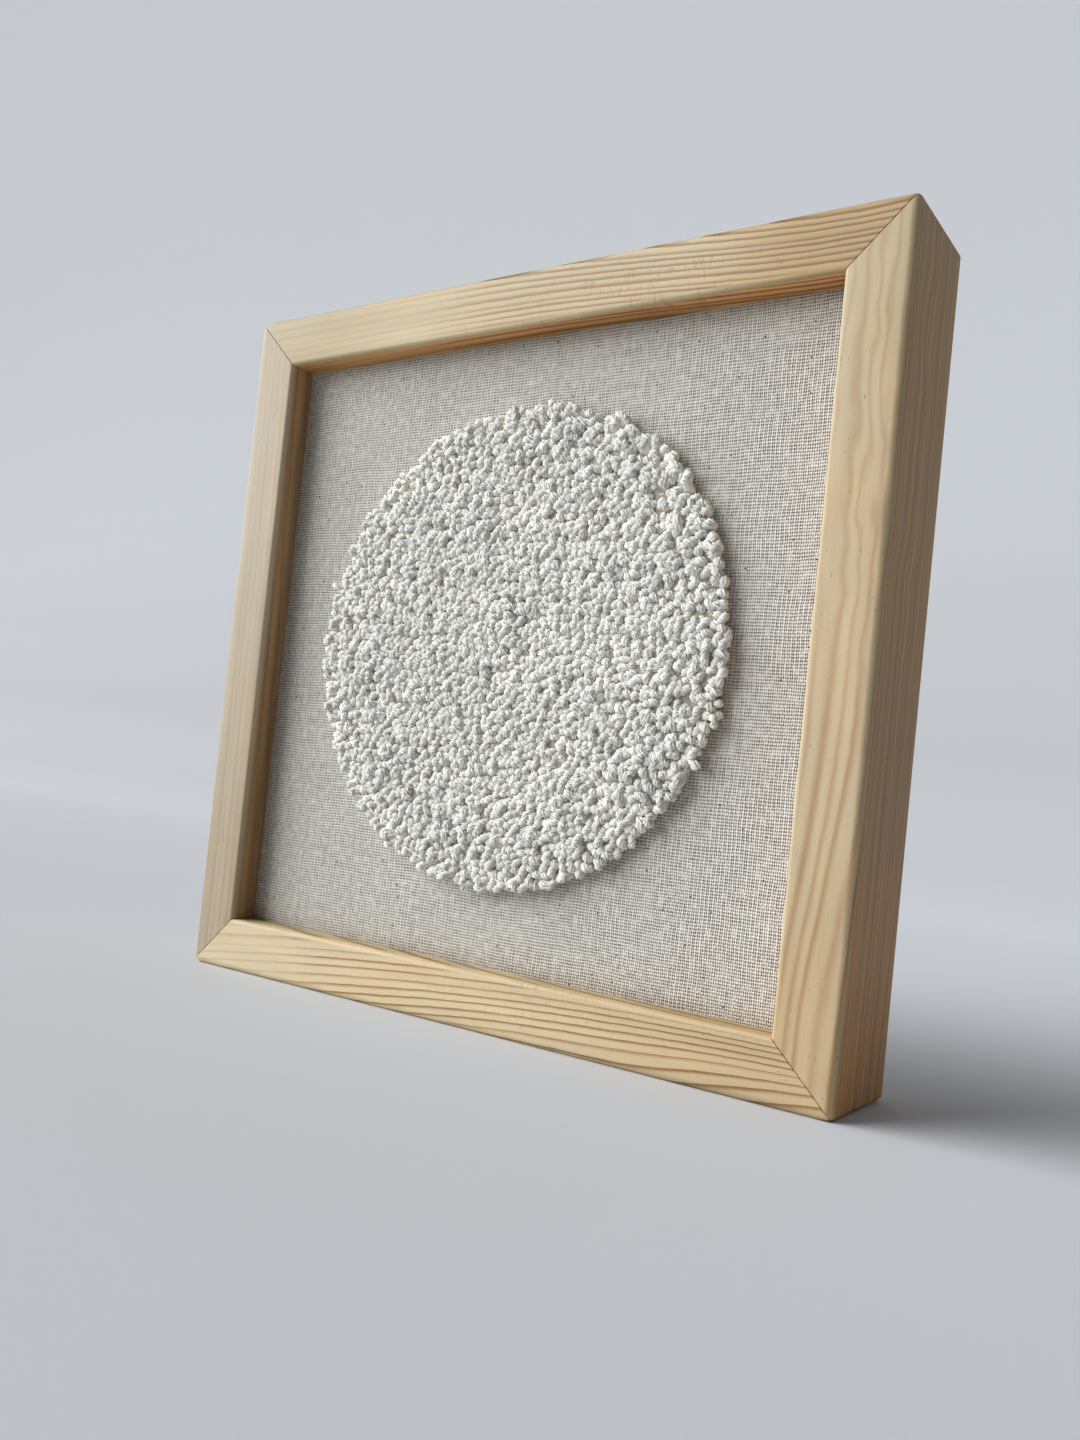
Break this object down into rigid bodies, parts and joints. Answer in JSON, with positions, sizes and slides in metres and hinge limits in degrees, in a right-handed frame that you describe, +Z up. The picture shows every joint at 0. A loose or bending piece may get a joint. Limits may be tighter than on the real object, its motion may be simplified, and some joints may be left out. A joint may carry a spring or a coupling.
{
  "type": "framed loop-pile wall hanging cloth with wooden box frame",
  "caption": "Square wall hanging: a round off-white loop-pile patch punched through a stretched natural cotton cloth, set back in a deep mitred pine frame that stands on its bottom rail.",
  "frame": {"origin": "middle of the frame's underside, where it stands", "axes": "+Z up, +Y from the face towards the back, +X to the right of someone looking at the face"},
  "size_m": [0.2, 0.0336, 0.2],
  "materials": {
    "pine": "bare planed pine, fine straight growth rings, satin",
    "cotton": "unbleached plain-weave cotton with small dark flecks, matt",
    "yarn": "soft twisted off-white cotton yarn in uncut loops, matt"
  },
  "bodies": {
    "root": {"rail_bottom": "pine", "rail_left": "pine", "rail_top": "pine", "rail_right": "pine", "ground_cloth": "cotton", "pile_disc": "yarn"}
  },
  "joints": []
}
